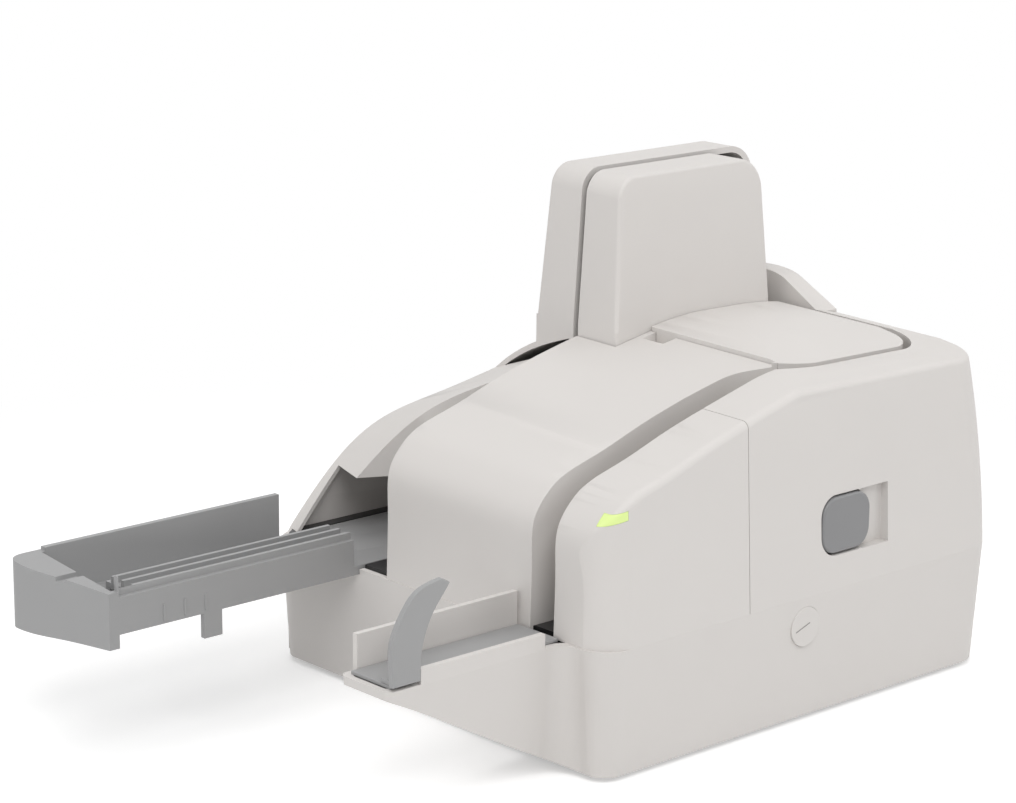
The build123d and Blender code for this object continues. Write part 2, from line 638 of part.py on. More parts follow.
# ---------------------------------------------------------------- base casing with the feed tongue
def base_plan(inset=0.0):
    """Plan of the casing at the seam: the body, with the feed tongue at its front left."""
    high = (BODY_LENGTH - inset, BODY_DEPTH - inset)
    with BuildSketch() as plan:
        with BuildLine():
            Polyline((inset, inset), (high[0], inset), (high[0], high[1]), (inset, high[1]),
                     (inset, TONGUE_BACK - inset), (NOSE_X + inset, TONGUE_BACK - inset),
                     (NOSE_X + inset, TONGUE_FRONT + inset), (inset, TONGUE_FRONT + inset), close=True)
        make_face()
        near_left = abs(inset) + 1
        for radius, chosen in (
            (11, lambda point: point.X < near_left and point.X > -1 and point.Y < near_left),
            (7.5, lambda point: -1 < point.X < near_left and abs(point.Y - TONGUE_FRONT - inset) < 1),
            (CORNER_RADIUS - inset, lambda point: point.X > 50 and point.X > high[0] - 1
             or point.Y > high[1] - 1),
            (3.5, lambda point: point.X < NOSE_X / 2),
        ):
            fillet(plan.vertices().filter_by(chosen), radius)
    return plan.sketch


def chin_outline(inset=0.0):
    """Side view below the casing: the space under the tongue, which the chin rises over."""
    with BuildSketch(Plane.XZ) as side:
        with BuildLine():
            chin = Spline([(NOSE_X + inset - 3, NOSE_HEIGHT + 2 + inset), (-51.5, 31.5 + inset),
                           (-27, 18 + inset), (8, -0.5 + inset)], tangents=((1, -0.45), (1, -0.52)))
            Polyline(chin @ 1, (8, -20), (-120, -20), (-120, NOSE_HEIGHT + 2 + inset), chin @ 0)
        make_face()
    return side.sketch


with BuildPart() as base_inside:
    extrude(base_plan(WALL).moved(Location((0, 0, SEAM_HEIGHT + 1))),
            amount=FOOT_HEIGHT + WALL - SEAM_HEIGHT, taper=BASE_DRAFT)
    extrude(chin_outline(WALL), amount=-BODY_DEPTH, mode=Mode.SUBTRACT)
with BuildPart() as tongue_rim:
    extrude(base_plan().moved(Location((0, 0, SEAM_HEIGHT - 0.5))), amount=TONGUE_RIM - SEAM_HEIGHT + 0.5)
    extrude(base_plan(WALL).moved(Location((0, 0, SEAM_HEIGHT - 2))), amount=20, mode=Mode.SUBTRACT)
    block((-65, -9), (0, TONGUE_BACK + 1), (SEAM_HEIGHT - 1, TONGUE_RIM + 1), Mode.INTERSECT)
FLOOR_TOP = FOOT_HEIGHT + WALL + 1
POSTS = [(30, 30), (198, 60), (60, 124), (192, 174)]
RAIL_TOP = 46.45
SOCKETS = {"power": ((150, 161), (14, 25)), "usb": ((166, 179), (14, 24.5))}
with BuildPart() as base_casing:
    extrude(base_plan().moved(Location((0, 0, SEAM_HEIGHT))), amount=FOOT_HEIGHT - SEAM_HEIGHT,
            taper=BASE_DRAFT)
    extrude(chin_outline(), amount=-BODY_DEPTH, mode=Mode.SUBTRACT)
    add(base_inside.part, mode=Mode.SUBTRACT)
    add(tongue_rim.part)
    # rail along the back of the feed tongue
    block((NOSE_X + 6, -0.6), (TONGUE_BACK - WALL, TONGUE_BACK - 0.2), (SEAM_HEIGHT - 6, 62))
    # posts under the deck, rails under the tray, wall behind the button's switch
    for x, y in POSTS:
        rod((x, y), (FLOOR_TOP - 1, TRACK_FLOOR - DECK_THICKNESS), 4.5)
        rod((x, y), (36, 50), 1.35, Mode.SUBTRACT)
    for y in (TRAY_FRONT, TRAY_BACK - TRAY_WALL):
        block((4, TRAY_INNER_END + TRAY_TRAVEL + 4), (y, y + TRAY_WALL), (FLOOR_TOP - 1, RAIL_TOP))
    block((BUTTON_X - 7, BUTTON_X + 7), (18, 20), (FLOOR_TOP - 1, 45))
    # opening for the tray, holes for the button and the sockets
    block((-3, 6), (TRAY_FRONT - 0.6, TRAY_BACK + 0.6), (RAIL_TOP, SEAM_HEIGHT + 1), Mode.SUBTRACT)
    with Locations((BUTTON_X, 4, BUTTON_Z)):
        Cylinder(BUTTON_DIAMETER / 2 + 0.05, 14, rotation=(90, 0, 0), mode=Mode.SUBTRACT)
    for x, z in SOCKETS.values():
        block(grown(x, 0.2), (180, BODY_DEPTH + 1), (12.4, z[1] + 0.2), Mode.SUBTRACT)
with BuildPart() as rubber_feet:
    for x in (24, 188):
        for y in (20, 168):
            rod((x, y), (0, FOOT_HEIGHT), 6)

# ---------------------------------------------------------------- deck that carries the track
SHAFTS = [(PICK_X, PICK_Y)] + [(x, DRIVE_Y) for x in NIP_ROLLERS]
EXIT_X = 108.5
EXIT_NIP = (RETURN_FRONT + RETURN_BACK) / 2
EXIT_Y = EXIT_NIP - NIP_GAP / 2 - DRIVE_RADIUS
EXIT_PINCH_Y = EXIT_NIP + NIP_GAP / 2 + PINCH_RADIUS
SHAFTS.append((EXIT_X, EXIT_Y))
MOTOR = (150.0, 78.0)
COVER_SCREWS = [(6.4, 62), (60, 110.4), (130, 88.9), (36, 6.2), FRONT_BOSS] + REAR_BOSSES
with BuildPart() as track_deck:
    with BuildSketch(Plane.XY.offset(TRACK_FLOOR)) as deck_plan:
        add(plan_outline(SEAM_HEIGHT, WALL + 0.3).moved(Location((0, 0, -SEAM_HEIGHT))))
        with Locations((68, (TRAY_FRONT + TRAY_BACK) / 2)):
            Rectangle(152, TRAY_BACK - TRAY_FRONT + 1.6, mode=Mode.SUBTRACT)
    extrude(deck_plan.sketch, amount=-DECK_THICKNESS)
    for shaft in SHAFTS:
        rod(shaft, (40, 52), 4.05, Mode.SUBTRACT)
    for screw in POSTS + COVER_SCREWS:
        rod(screw, (40, 52), 1.6, Mode.SUBTRACT)
    for post in POSTS:
        rod(post, (TRACK_FLOOR - 1.5, TRACK_FLOOR + 1), 3.0, Mode.SUBTRACT)
with BuildPart() as shaft_bushes:
    for shaft in SHAFTS:
        rod(shaft, (TRACK_FLOOR - DECK_THICKNESS, TRACK_FLOOR), 4.0)
        rod(shaft, (TRACK_FLOOR, TRACK_FLOOR + 1.2), 3.4)
        rod(shaft, (40, 60), SHAFT_RADIUS + 0.05, Mode.SUBTRACT)
with BuildPart() as deck_screws:
    for x, y in POSTS:
        rod((x, y), (TRACK_FLOOR - 1.5, TRACK_FLOOR - 0.1), 2.8)
        rod((x, y), (38, TRACK_FLOOR - 1), 1.3)
with BuildPart() as cover_screws:
    for x, y in COVER_SCREWS:
        rod((x, y), (TRACK_FLOOR - DECK_THICKNESS - 1.6, TRACK_FLOOR - DECK_THICKNESS), 2.8)
        rod((x, y), (TRACK_FLOOR - DECK_THICKNESS - 0.1, 61), 1.3)

# ---------------------------------------------------------------- feed tongue fittings
with BuildPart() as feed_floor:
    block((NOSE_X + 3, -0.4), (TONGUE_FRONT + WALL + 0.2, TONGUE_BACK - WALL - 0.2), (48.5, TRACK_FLOOR))
with BuildPart() as feed_guide:
    with BuildSketch(Plane.XZ.offset(-TONGUE_FRONT + 0.2)) as fin:
        with BuildLine():
            outer = Spline([(-77.4, TRACK_FLOOR), (-77.2, 66.5), (-71, 77.2), (-55.8, 83.8)],
                           tangents=((0, 1), (1, 0.1)))
            inner = Spline([(-52.5, 81.9), (-59, 73.9), (-64.6, 60.9), (-65.2, TRACK_FLOOR)],
                           tangents=((-0.7, -1), (0, -1)))
            Line(outer @ 1, inner @ 0)
            Line(inner @ 1, outer @ 0)
        make_face()
    extrude(fin.sketch, amount=-2.2)
    block((-76, -67), (TONGUE_FRONT + 1, TONGUE_FRONT + 8), (TRACK_FLOOR, TRACK_FLOOR + 1.6))

# ---------------------------------------------------------------- eject tray
with BuildPart() as eject_tray:
    with BuildSketch(Plane.YZ.offset(TRAY_FACE + 1)) as section:
        with BuildLine():
            Polyline((TRAY_FRONT, RAIL_TOP + 0.05), (TRAY_FRONT, 60.2), (151, 60.2), (151, TRACK_FLOOR),
                     (177, TRACK_FLOOR), (177, 68), (TRAY_BACK, 68), (TRAY_BACK, RAIL_TOP + 0.05),
                     (177.3, RAIL_TOP + 0.05), (177.3, 47.8), (148.8, 47.8), (148.8, 58),
                     (134.2, 58), (134.2, RAIL_TOP + 0.05), close=True)
        make_face()
    extrude(section.sketch, amount=-TRAY_FACE - 3)
    for y in (134, 140, 146):
        block((TRAY_FACE + 1, -2), (y, y + 1.6), (59, 62.8))
    # flat part that runs in the casing
    block((-2.5, TRAY_INNER_END), (TRAY_FRONT, TRAY_BACK), (47.8, TRACK_FLOOR))
    for y in (TRAY_FRONT, TRAY_BACK - TRAY_WALL):
        block((-2.5, TRAY_INNER_END), (y, y + TRAY_WALL), (RAIL_TOP + 0.05, 48))
    # swept end wall
    with BuildSketch(Plane.XY.offset(41.5)) as end_plan:
        with BuildLine():
            face = Spline([(-111.8, TRAY_FRONT), (-117.2, 152), (TRAY_END, TRAY_BACK - 6)],
                          tangents=((-0.26, 1), (0, 1)))
            corner = Spline([face @ 1, (-115, TRAY_BACK)], tangents=((0, 1), (1, 0)))
            Polyline(corner @ 1, (-107, TRAY_BACK), (-107.5, TRAY_FRONT), face @ 0)
        make_face()
    extrude(end_plan.sketch, amount=26.5)
    block((-130, -100), (151, 155), (62.8, 70), Mode.SUBTRACT)
    with BuildSketch(Plane.YZ.offset(-130)) as slope:
        with BuildLine():
            Polyline((TRAY_FRONT - 1, 62.1), (TRAY_BACK + 1, 67), (TRAY_BACK + 1, 70), (TRAY_FRONT - 1, 70),
                     close=True)
        make_face()
    extrude(slope.sketch, amount=22, mode=Mode.SUBTRACT)
    block((-109.4, -100), (TRAY_FRONT + 2.2, 176.8), (TRACK_FLOOR, 70), Mode.SUBTRACT)
    # lug below the skirt
    block((-71, -63), (TRAY_FRONT, TRAY_FRONT + 2.2), (37, 47))

# ---------------------------------------------------------------- drive
PULLEY_Z = (40.0, 46.0)


def shaft_piece(top, hubs):
    """An upright shaft with a pulley at its foot and hubs for its tyres."""
    with BuildPart() as shaft:
        rod((0, 0), (38.5, top), SHAFT_RADIUS)
        rod((0, 0), PULLEY_Z, PULLEY_RADIUS)
        for low, high in hubs:
            rod((0, 0), (low, high), 5.5)
    return shaft.part


def tyres(hubs):
    """Rubber rings on a roller's hubs."""
    with BuildPart() as rings:
        for low, high in hubs:
            rod((0, 0), (low, high), DRIVE_RADIUS)
            rod((0, 0), (low, high), 5.5, Mode.SUBTRACT)
    return rings.part


NIP_HUBS = [(height - TYRE_WIDTH / 2, height + TYRE_WIDTH / 2) for height in TYRE_HEIGHTS]
PICK_HUBS = [(60, 84)]
PULLEYS = SHAFTS + [MOTOR]


def pulley_hull(radius):
    """Outline of a band drawn round all the pulleys, on the belt's lower plane."""
    with BuildSketch(Plane.XY.offset(PULLEY_Z[0] + 0.5)) as band:
        with Locations(PULLEYS):
            Circle(radius)
        make_hull()
    return band.sketch


with BuildPart() as drive_belt:
    extrude(pulley_hull(PULLEY_RADIUS + 0.05 + BELT_THICKNESS), amount=5)
    extrude(pulley_hull(PULLEY_RADIUS + 0.05), amount=5, mode=Mode.SUBTRACT)
with BuildPart() as motor:
    rod(MOTOR, (FLOOR_TOP, 37), 14)
    rod(MOTOR, (36, 38.5), 5)
    rod(MOTOR, (36, 48), 1.55, Mode.SUBTRACT)
with BuildPart() as motor_pulley:
    rod(MOTOR, PULLEY_Z, PULLEY_RADIUS)
    rod(MOTOR, (36.2, 46.5), 1.5)
with BuildPart() as exit_pinch_axle:
    rod((EXIT_X, EXIT_PINCH_Y), (50.4, 112.8), AXLE_RADIUS - 0.03)

# ---------------------------------------------------------------- guide plates and image sensors
FRONT_SENSOR_X = 128.0
REAR_SENSOR_X = 146.0
SENSOR_Z = (54.0, 172.0)
GLASS_HALF = 5.0


def guide_plate(right, top, broad, slot, near):
    """Flat plate that closes a tower slab on its slot side, from a near face back."""
    lean = FACE_LEAN if broad < slot else -FACE_LEAN
    with BuildPart() as plate:
        add(tower_slab(right, top, broad, slot, lean, WALL + 0.1))
        block((TOWER_LEFT, right), (near, near + GUIDE_THICKNESS), (TRACK_FLOOR, 180), Mode.INTERSECT)
    return plate.part


def image_sensor(x, near, far, glass_near, glass_far):
    """Contact image sensor: a tall bar, and the glass that stands before it in the guide plate."""
    with BuildPart() as bar:
        block((x - 6.5, x + 6.5), (near, far), SENSOR_Z)
    with BuildPart() as glass:
        block((x - GLASS_HALF, x + GLASS_HALF), (glass_near, glass_far), grown(SENSOR_Z, -1))
    return bar, glass


FRONT_PLATE_BACK = RETURN_FRONT - GUIDE_THICKNESS
REAR_PLATE_BACK = RETURN_BACK + GUIDE_THICKNESS
with BuildPart() as front_guide_plate:
    add(guide_plate(TOWER_RIGHT, TOWER_HEIGHT - 0.8, TOWER_FRONT + WALL, RETURN_FRONT, FRONT_PLATE_BACK))
    block(grown((FRONT_SENSOR_X, FRONT_SENSOR_X), GLASS_HALF + 0.05), (110, 117),
          grown(SENSOR_Z, -0.95), Mode.SUBTRACT)
    for height in TYRE_HEIGHTS:
        block((EXIT_X - 6.8, EXIT_X + 6.8), (110, 117), (height - 7, height + 7), Mode.SUBTRACT)
with BuildPart() as rear_guide_plate:
    add(guide_plate(BACK_SLAB_RIGHT, TOWER_HEIGHT, TOWER_REAR - WALL, RETURN_BACK, RETURN_BACK))
    for height in (51.7, 111.5):
        block((EXIT_X - 4, EXIT_X + 4), (REAR_PLATE_BACK - 0.5, 125.5), (height - 1.5, height + 1.5))
    block(grown((REAR_SENSOR_X, REAR_SENSOR_X), GLASS_HALF + 0.05), (117, 122),
          grown(SENSOR_Z, -0.95), Mode.SUBTRACT)
    block((EXIT_X - 5.3, EXIT_X + 5.3), (117, 121), (53.5, 109.5), Mode.SUBTRACT)
    rod((EXIT_X, EXIT_PINCH_Y), (50, 114), AXLE_RADIUS + 0.02, Mode.SUBTRACT)
front_image_sensor, front_sensor_glass = image_sensor(FRONT_SENSOR_X, 103.5, FRONT_PLATE_BACK,
                                                      FRONT_PLATE_BACK, RETURN_FRONT - 0.1)
rear_image_sensor, rear_sensor_glass = image_sensor(REAR_SENSOR_X, REAR_PLATE_BACK, 130,
                                                    RETURN_BACK + 0.1, REAR_PLATE_BACK)

# ---------------------------------------------------------------- boards, sockets and the button
with BuildPart() as main_board:
    block((60, 182), (137, 175), (11, 12.6))
    block((80, 100), (145, 165), (12, 15))
    block((112, 122), (146, 160), (12, 15))
    for x in (70, 172):
        for y in (141, 171):
            rod((x, y), (FLOOR_TOP, 11.2), 2.5)
with BuildPart() as power_socket:
    x, z = SOCKETS["power"]
    block(x, (171, 185.4), (12.6, z[1]))
    with Locations(((x[0] + x[1]) / 2, 182, (z[0] + z[1]) / 2)):
        Cylinder(3.6, 12, rotation=(90, 0, 0), mode=Mode.SUBTRACT)
    with Locations(((x[0] + x[1]) / 2, 179.5, (z[0] + z[1]) / 2)):
        Cylinder(1.0, 10, rotation=(90, 0, 0))
with BuildPart() as usb_socket:
    x, z = SOCKETS["usb"]
    block(x, (171, 185.4), (12.6, z[1]))
    block((x[0] + 1.4, x[1] - 1.4), (176, 190), (z[0] + 1, z[1] - 1.2), Mode.SUBTRACT)
    block((x[0] + 3, x[1] - 3), (175, 183), (z[0] + 3.6, z[0] + 5.6))
with BuildPart() as power_button:
    with Locations((BUTTON_X, 2.4, BUTTON_Z)):
        Cylinder(BUTTON_DIAMETER / 2, 4.6, rotation=(90, 0, 0))
    with Locations((BUTTON_X, 4.6, BUTTON_Z)):
        Cylinder(9, 1.2, rotation=(90, 0, 0))
    with Locations((BUTTON_X, 7, BUTTON_Z)):
        Cylinder(2.5, 6, rotation=(90, 0, 0))
with BuildPart() as button_switch:
    block((BUTTON_X - 6, BUTTON_X + 6), (11.8, 18), (BUTTON_Z - 6, BUTTON_Z + 6))
with BuildPart() as button_spring:
    with BuildLine() as coil:
        Helix(1.5, 4.2, 3.6, center=(BUTTON_X, 7.15, BUTTON_Z), direction=(0, 1, 0))
    with BuildSketch(Plane(coil.line @ 0, z_dir=coil.line % 0)):
        RegularPolygon(0.35, 5)
    sweep()

# ---------------------------------------------------------------- pieces as they are written
for name, builder in {
    "base_casing": base_casing, "rubber_feet": rubber_feet, "track_deck": track_deck,
    "feed_floor": feed_floor, "feed_guide": feed_guide, "feed_corner_cover": feed_corner_cover,
    "status_light": status_light, "light_board": light_board, "front_cover": front_cover,
    "hinge_pin": hinge_pin, "open_lever": open_lever, "lever_pin": lever_pin,
    "latch_bar": latch_bar, "pinch_axles": pinch_axles, "magnetic_head": magnetic_head,
    "centre_cover": centre_cover, "path_cover": path_cover,
    "front_sensor_housing": front_sensor_housing, "rear_cover": rear_cover,
    "front_guide_plate": front_guide_plate, "rear_guide_plate": rear_guide_plate,
    "front_image_sensor": front_image_sensor, "front_sensor_glass": front_sensor_glass,
    "rear_image_sensor": rear_image_sensor, "rear_sensor_glass": rear_sensor_glass,
    "exit_pinch_axle": exit_pinch_axle, "shaft_bushes": shaft_bushes, "drive_belt": drive_belt,
    "motor": motor, "motor_pulley": motor_pulley, "main_board": main_board,
    "power_socket": power_socket, "usb_socket": usb_socket, "power_button": power_button,
    "button_spring": button_spring, "button_switch": button_switch, "eject_tray": eject_tray,
    "deck_screws": deck_screws, "cover_screws": cover_screws,
}.items():
    keep(builder.part, name)

nip_shaft = shaft_piece(118, NIP_HUBS)
nip_tyres = tyres(NIP_HUBS)
for name, spot in (("feed", SHAFTS[1]), ("transport", SHAFTS[2]), ("exit", SHAFTS[3])):
    keep(nip_shaft.moved(Location((*spot, 0))), name + "_roller")
    keep(nip_tyres.moved(Location((*spot, 0))), name + "_tyres")
keep(shaft_piece(94, PICK_HUBS).moved(Location((PICK_X, PICK_Y, 0))), "pick_roller")
keep(tyres(PICK_HUBS).moved(Location((PICK_X, PICK_Y, 0))), "pick_tyre")
for name, spot in (("feed", (NIP_ROLLERS[0], PINCH_Y)), ("transport", (NIP_ROLLERS[1], PINCH_Y)),
                   ("exit", (EXIT_X, EXIT_PINCH_Y))):
    keep(pinch_roller.part.moved(Location((*spot, 0))), name + "_pinch_roller")
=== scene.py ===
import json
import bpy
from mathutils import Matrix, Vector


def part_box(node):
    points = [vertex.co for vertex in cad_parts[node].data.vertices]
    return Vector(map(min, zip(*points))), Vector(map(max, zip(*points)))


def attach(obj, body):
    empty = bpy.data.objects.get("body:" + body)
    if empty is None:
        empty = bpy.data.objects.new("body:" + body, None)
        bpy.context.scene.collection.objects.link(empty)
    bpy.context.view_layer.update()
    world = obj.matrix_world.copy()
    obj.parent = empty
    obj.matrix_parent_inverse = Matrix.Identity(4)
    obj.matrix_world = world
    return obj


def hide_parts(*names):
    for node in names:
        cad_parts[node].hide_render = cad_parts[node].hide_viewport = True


bl_info = {
    "name": "Desktop Cheque Scanner",
    "version": (1, 0, 0),
    "blender": (4, 5, 0),
    "location": "3D View > Sidebar > Scanner",
    "description": "Dresses the frame of a desktop cheque scanner with its covers, tray, track and stage",
    "category": "Object",
}

from math import cos, radians, sin

import bmesh
import bpy
from bpy.props import (FloatProperty, FloatVectorProperty, IntProperty, PointerProperty)
from bpy.types import Operator, Panel, PropertyGroup
from mathutils import Matrix, Vector

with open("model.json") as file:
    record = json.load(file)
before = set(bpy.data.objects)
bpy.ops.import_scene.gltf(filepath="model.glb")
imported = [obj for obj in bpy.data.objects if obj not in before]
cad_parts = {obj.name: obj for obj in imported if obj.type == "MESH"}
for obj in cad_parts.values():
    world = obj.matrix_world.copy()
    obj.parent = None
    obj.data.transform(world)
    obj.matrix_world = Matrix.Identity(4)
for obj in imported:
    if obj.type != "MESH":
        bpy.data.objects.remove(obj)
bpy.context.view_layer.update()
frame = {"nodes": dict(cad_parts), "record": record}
NODES = frame["nodes"]
BODY_OF = {node: body for body, names in frame["record"]["behaviour"]["bodies"].items() for node in names}

# The modelling datum is the casing's near left corner, on the table.
CASING_LENGTH = 0.211
COVER_LOW, COVER_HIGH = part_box("front_cover")
DATUM = Vector((COVER_HIGH.x - CASING_LENGTH, COVER_LOW.y, 0.0))

# How a copied node is cleaned before its edges are rounded.
MERGE_DISTANCE = 2e-6
FLAT_ANGLE = radians(0.6)
SHARP_ANGLE = radians(32.0)
CAP_EDGE = 0.0003
LENS_EDGE = 0.0002

# The skirt's ribs and the button's mark.
RIB_STEP = Vector((0.0091, 0, 0))
RIB_SIZE = Vector((0.0009, 0.0007, 0.0062))
MARK_HALF_WIDTH = 0.00022
MARK_TIP = 0.0002
MARK_DEPTH = 0.0003

# Where the floor round the scanner turns from shaded to plain white, in metres from its middle.
FLOOR_FADE = (0.20, 0.50)


def at(x, y, z):
    """A point given in millimetres from the modelling datum, in the frame."""
    return DATUM + Vector((x, y, z)) * 0.001


# ---------------------------------------------------------------- settings
class ScannerSizes(PropertyGroup):
    cover_edge: FloatProperty(name="Cover edge", description="Radius of the covers' moulded edges",
                              default=0.0005, unit="LENGTH")
    tray_edge: FloatProperty(name="Tray edge", description="Radius of the grey trays' moulded edges",
                             default=0.0004, unit="LENGTH")
    skirt_ribs: IntProperty(name="Skirt ribs", description="Upright ribs on the eject tray's skirt",
                            default=3)
    lamp_level: FloatProperty(name="Lamp level", description="Scales every lamp on the stage", default=0.86)


class ScannerColours(PropertyGroup):
    casing: FloatVectorProperty(name="Casing", description="Light warm grey of the covers and the base",
                                subtype="COLOR", default=(0.685, 0.658, 0.635))
    tray: FloatVectorProperty(name="Tray", description="Grey of the tray, the feed floor and the guide",
                              subtype="COLOR", default=(0.345, 0.345, 0.347))
    lever: FloatVectorProperty(name="Lever", description="Darker grey of the open lever",
                               subtype="COLOR", default=(0.24, 0.24, 0.245))
    light: FloatVectorProperty(name="Status light", description="Lit colour of the status light",
                               subtype="COLOR", default=(0.66, 0.80, 0.30))


def sizes():
    return bpy.context.scene.scanner_sizes


def colours():
    return bpy.context.scene.scanner_colours


# ---------------------------------------------------------------- shader groups
def new_group(name, inputs, outputs):
    """A shader node group with float or colour sockets, and its two end nodes."""
    tree = bpy.data.node_groups.new(name, "ShaderNodeTree")
    for kind, label, value in inputs:
        socket = tree.interface.new_socket(label, in_out="INPUT", socket_type="NodeSocket" + kind)
        if value is not None:
            socket.default_value = value
    for kind, label in outputs:
        tree.interface.new_socket(label, in_out="OUTPUT", socket_type="NodeSocket" + kind)
    return tree, tree.nodes.new("NodeGroupInput"), tree.nodes.new("NodeGroupOutput")


def add_node(tree, kind, **values):
    """A node with its properties and unlinked inputs set by name."""
    node = tree.nodes.new("ShaderNode" + kind)
    for key, value in values.items():
        if key in node.inputs:
            node.inputs[key].default_value = value
        else:
            setattr(node, key, value)
    return node


def math_node(tree, operation, first, second):
    """A maths node between two values or sockets."""
    node = tree.nodes.new("ShaderNodeMath")
    node.operation = operation
    for socket, value in zip(node.inputs, (first, second)):
        if isinstance(value, bpy.types.NodeSocket):
            tree.links.new(value, socket)
        else:
            socket.default_value = value
    return node.outputs[0]


def seen_ray(tree):
    """One for camera, glossy and transmission rays, which see the pale backdrop."""
    path = add_node(tree, "LightPath")
    direct = math_node(tree, "MAXIMUM", path.outputs["Is Camera Ray"], path.outputs["Is Glossy Ray"])
    return math_node(tree, "MAXIMUM", direct, path.outputs["Is Transmission Ray"])


def moulded_group():
    """Moulded plastic: fine spark-eroded grain, faint flow marks in its colour and patchy sheen."""
    name = "Moulded Grain"
    if name in bpy.data.node_groups:
        return bpy.data.node_groups[name]
    tree, start, end = new_group(
        name,
        [("Color", "Base", None), ("Float", "Grain Scale", 1600.0), ("Float", "Variation", 0.03),
         ("Float", "Sheen Low", 0.42), ("Float", "Sheen High", 0.56)],
        [("Color", "Color"), ("Float", "Roughness"), ("Float", "Height")])
    place = add_node(tree, "TexCoord")
    grain = add_node(tree, "TexNoise", Detail=3.0, Roughness=0.6)
    tree.links.new(place.outputs["Object"], grain.inputs["Vector"])
    tree.links.new(start.outputs["Grain Scale"], grain.inputs["Scale"])
    cloud = add_node(tree, "TexNoise", Scale=22.0, Detail=4.0, Roughness=0.55)
    tree.links.new(place.outputs["Object"], cloud.inputs["Vector"])
    shift = math_node(tree, "SUBTRACT", cloud.outputs["Fac"], 0.5)
    amount = math_node(tree, "MULTIPLY", shift, start.outputs["Variation"])
    level = math_node(tree, "ADD", amount, 1.0)
    tone = add_node(tree, "VectorMath", operation="SCALE")
    tree.links.new(start.outputs["Base"], tone.inputs[0])
    tree.links.new(level, tone.inputs["Scale"])
    tree.links.new(tone.outputs[0], end.inputs["Color"])
    patch = add_node(tree, "TexNoise", Scale=70.0, Detail=2.0)
    tree.links.new(place.outputs["Object"], patch.inputs["Vector"])
    sheen = add_node(tree, "MapRange")
    tree.links.new(patch.outputs["Fac"], sheen.inputs["Value"])
    tree.links.new(start.outputs["Sheen Low"], sheen.inputs["To Min"])
    tree.links.new(start.outputs["Sheen High"], sheen.inputs["To Max"])
    tree.links.new(sheen.outputs["Result"], end.inputs["Roughness"])
    tree.links.new(grain.outputs["Fac"], end.inputs["Height"])
    return tree


def streak_group():
    """Turned or drawn metal: fine streaks along one axis in roughness and height."""
    name = "Drawn Streaks"
    if name in bpy.data.node_groups:
        return bpy.data.node_groups[name]
    tree, start, end = new_group(
        name,
        [("Color", "Base", None), ("Vector", "Stretch", (900.0, 900.0, 60.0)),
         ("Float", "Rough Low", 0.2), ("Float", "Rough High", 0.4)],
        [("Color", "Color"), ("Float", "Roughness"), ("Float", "Height")])
    place = add_node(tree, "TexCoord")
    scale = add_node(tree, "VectorMath", operation="MULTIPLY")
    tree.links.new(place.outputs["Object"], scale.inputs[0])
    tree.links.new(start.outputs["Stretch"], scale.inputs[1])
    streak = add_node(tree, "TexNoise", Scale=1.0, Detail=3.0, Roughness=0.65)
    tree.links.new(scale.outputs[0], streak.inputs["Vector"])
    rough = add_node(tree, "MapRange")
    tree.links.new(streak.outputs["Fac"], rough.inputs["Value"])
    tree.links.new(start.outputs["Rough Low"], rough.inputs["To Min"])
    tree.links.new(start.outputs["Rough High"], rough.inputs["To Max"])
    level = math_node(tree, "MULTIPLY_ADD", streak.outputs["Fac"], 0.25)
    level.node.inputs[2].default_value = 0.86
    tone = add_node(tree, "VectorMath", operation="SCALE")
    tree.links.new(start.outputs["Base"], tone.inputs[0])
    tree.links.new(level, tone.inputs["Scale"])
    tree.links.new(tone.outputs[0], end.inputs["Color"])
    tree.links.new(rough.outputs["Result"], end.inputs["Roughness"])
    tree.links.new(streak.outputs["Fac"], end.inputs["Height"])
    return tree


# ---------------------------------------------------------------- materials
def surface(name, tree_maker, base, bump, group_values=None, **shader_values):
    """A Principled material whose colour, roughness and bump come from a shader group."""
    if name in bpy.data.materials:
        return bpy.data.materials[name]
    material = bpy.data.materials.new(name)
    material.use_nodes = True
    tree = material.node_tree
    shader = tree.nodes["Principled BSDF"]
    group = tree.nodes.new("ShaderNodeGroup")
    group.node_tree = tree_maker()
    group.inputs["Base"].default_value = (*base, 1.0)
    for key, value in (group_values or {}).items():
        group.inputs[key].default_value = value
    relief = add_node(tree, "Bump", Strength=0.5, Distance=bump)
    tree.links.new(group.outputs["Color"], shader.inputs["Base Color"])
    tree.links.new(group.outputs["Roughness"], shader.inputs["Roughness"])
    tree.links.new(group.outputs["Height"], relief.inputs["Height"])
    tree.links.new(relief.outputs["Normal"], shader.inputs["Normal"])
    for key, value in shader_values.items():
        shader.inputs[key.replace("_", " ")].default_value = value
    material.diffuse_color = (*base, 1.0)
    return material


def casing_material():
    return surface("Casing grey", moulded_group, colours().casing, 0.00004,
                   {"Grain Scale": 1500.0, "Variation": 0.035, "Sheen Low": 0.46, "Sheen High": 0.58})


def tray_material():
    return surface("Tray grey", moulded_group, colours().tray, 0.00005,
                   {"Grain Scale": 1300.0, "Variation": 0.08, "Sheen Low": 0.40, "Sheen High": 0.52})


def lever_material():
    return surface("Lever grey", moulded_group, colours().lever, 0.00005,
                   {"Grain Scale": 1200.0, "Variation": 0.10, "Sheen Low": 0.34, "Sheen High": 0.46})


def mark_material():
    return surface("Mark grey", moulded_group, (0.30, 0.29, 0.28), 0.00001,
                   {"Grain Scale": 1500.0, "Variation": 0.05, "Sheen Low": 0.5, "Sheen High": 0.6})


def track_material():
    return surface("Track black", moulded_group, (0.018, 0.018, 0.019), 0.00003,
                   {"Grain Scale": 1800.0, "Variation": 0.2, "Sheen Low": 0.28, "Sheen High": 0.42})


